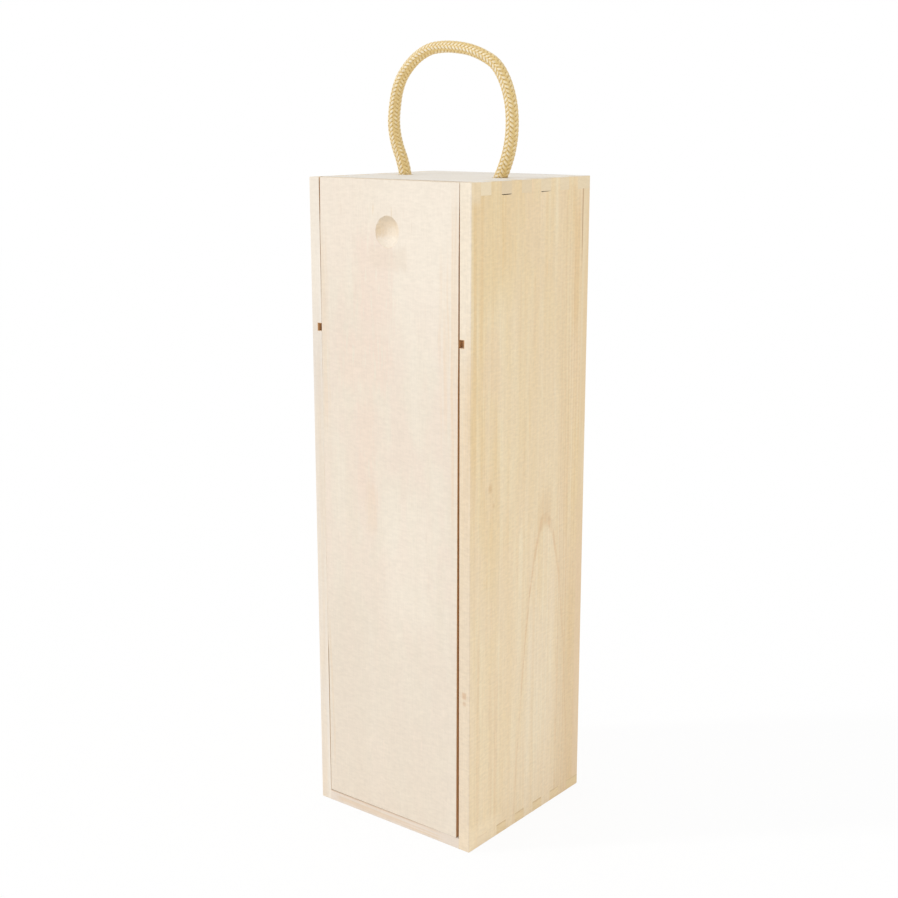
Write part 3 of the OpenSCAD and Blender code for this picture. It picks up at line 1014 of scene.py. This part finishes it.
def recessCutter(middle, radius, depth, look):
    ball = (radius * radius + depth * depth) / (2 * depth)
    furthest = math.asin(radius / ball) * look["past"]
    mesh = bpy.data.meshes.new("recess_cutter")
    points = [middle + Vector((0, depth, 0))]
    for ring in range(1, look["rings"] + 1):
        lean = furthest * ring / look["rings"]
        for spoke in range(look["spokes"]):
            turn = 2 * math.pi * spoke / look["spokes"]
            out, deep = ball * math.sin(lean), depth - ball * (1 - math.cos(lean))
            up = out * math.sin(turn) * look["tall"] + look["up"]
            point = middle + Vector((out * math.cos(turn), deep, up))
            rough = 0
            for height, (wide, tall), seed in (look["gouge"], look["nick"]):
                rough += height * noise.noise(Vector((point.x / mm * wide, seed, point.z / mm * tall)))
            points.append(point + Vector((0, rough * 2, 0)))
    count = look["spokes"]
    faces = [(0, 1 + (s + 1) % count, 1 + s) for s in range(count)]
    for ring in range(look["rings"] - 1):
        a = 1 + ring * count
        for s in range(count):
            t = (s + 1) % count
            faces.append((a + s, a + t, a + count + t, a + count + s))
    points.append(middle - Vector((0, look["proud"], 0)))
    outer = 1 + (look["rings"] - 1) * count
    faces += [(outer + s, outer + (s + 1) % count, len(points) - 1) for s in range(count)]
    mesh.from_pydata(points, [], faces)
    form = bmesh.new()
    form.from_mesh(mesh)
    bmesh.ops.recalc_face_normals(form, faces=form.faces[:])
    form.to_mesh(mesh)
    form.free()
    mesh.shade_smooth()
    cutter = bpy.data.objects.new("recess_cutter", mesh)
    bpy.context.scene.collection.objects.link(cutter)
    return cutter


def makeLid():
    form = boardForm("lid")
    middle, radius, depth = fillRecess(form, recessLook)
    bendEdges(form, lidLook)
    lid = finishBoard("lid", form)
    cutter = recessCutter(middle, radius, depth, recessLook)
    carve = lid.modifiers.new("carve", "BOOLEAN")
    carve.operation = "DIFFERENCE"
    carve.solver = "EXACT"
    carve.object = cutter
    shaped = lid.evaluated_get(bpy.context.evaluated_depsgraph_get())
    carved = bpy.data.meshes.new_from_object(shaped)
    plain = lid.data
    lid.modifiers.clear()
    lid.data = carved
    carved.name = "lid_board"
    carved.materials.clear()
    carved.materials.append(plain.materials[0])
    bpy.data.objects.remove(cutter)
    print("lid carved:", len(carved.polygons), "faces")


makeLid()


stageLook = {
    "floorSize": 6.0,
    "floorGlow": 0.9,  # share of plain white in what the camera sees of the floor
    "skyLevel": 0.85,
    "keyWay": (-0.55, -0.55, 0.63),  # towards the key light
    "keyPower": 0.72,
    "keySpread": 5,  # degrees
}


def whiteForEye(tree):
    # 1 for what the camera, a gloss or a clear surface sees, and 0 for the light that falls on things
    path = addNode(tree, "LightPath")
    return calc(tree, "MAXIMUM", path.outputs["Is Camera Ray"],
                calc(tree, "MAXIMUM", path.outputs["Is Glossy Ray"], path.outputs["Is Transmission Ray"]))


def makeFloor(look):
    half = look["floorSize"] / 2
    mesh = bpy.data.meshes.new("floor")
    corners = [(-half, -half, 0), (half, -half, 0), (half, half, 0), (-half, half, 0)]
    mesh.from_pydata(corners, [], [(0, 1, 2, 3)])
    material, tree = newMaterial("floor_white")
    matt = addNode(tree, "BsdfDiffuse", {"Color": (1, 1, 1, 1)})
    glow = addNode(tree, "Emission", {"Color": (1, 1, 1, 1), "Strength": 1.0})
    share = calc(tree, "MULTIPLY", whiteForEye(tree), look["floorGlow"])
    both = addNode(tree, "MixShader", {0: share, 1: matt.outputs[0], 2: glow.outputs[0]})
    finishMaterial(tree, both.outputs[0])
    floor = addObject("floor", mesh, material)


def makeWorld(look):
    world = bpy.data.worlds.new("studio")
    bpy.context.scene.world = world
    world.use_nodes = True
    tree = world.node_tree
    tree.nodes.clear()
    level = addNode(tree, "Mix", data_type="FLOAT")
    feed(tree, level.inputs[0], whiteForEye(tree))
    feed(tree, level.inputs[2], look["skyLevel"])
    feed(tree, level.inputs[3], 1.0)
    sky = addNode(tree, "Background", {"Color": (1, 1, 1, 1), "Strength": level.outputs[0]})
    output = addNode(tree, "OutputWorld")
    tree.links.new(sky.outputs[0], output.inputs["Surface"])


def makeKey(look):
    data = bpy.data.lights.new("key", "SUN")
    data.energy = look["keyPower"]
    data.angle = math.radians(look["keySpread"])
    key = bpy.data.objects.new("key", data)
    key.rotation_euler = Vector(look["keyWay"]).to_track_quat("Z", "Y").to_euler()
    bpy.context.scene.collection.objects.link(key)


makeFloor(stageLook)
makeWorld(stageLook)
makeKey(stageLook)
bpy.context.scene.view_settings.view_transform = "Standard"
print("floor and lights set")
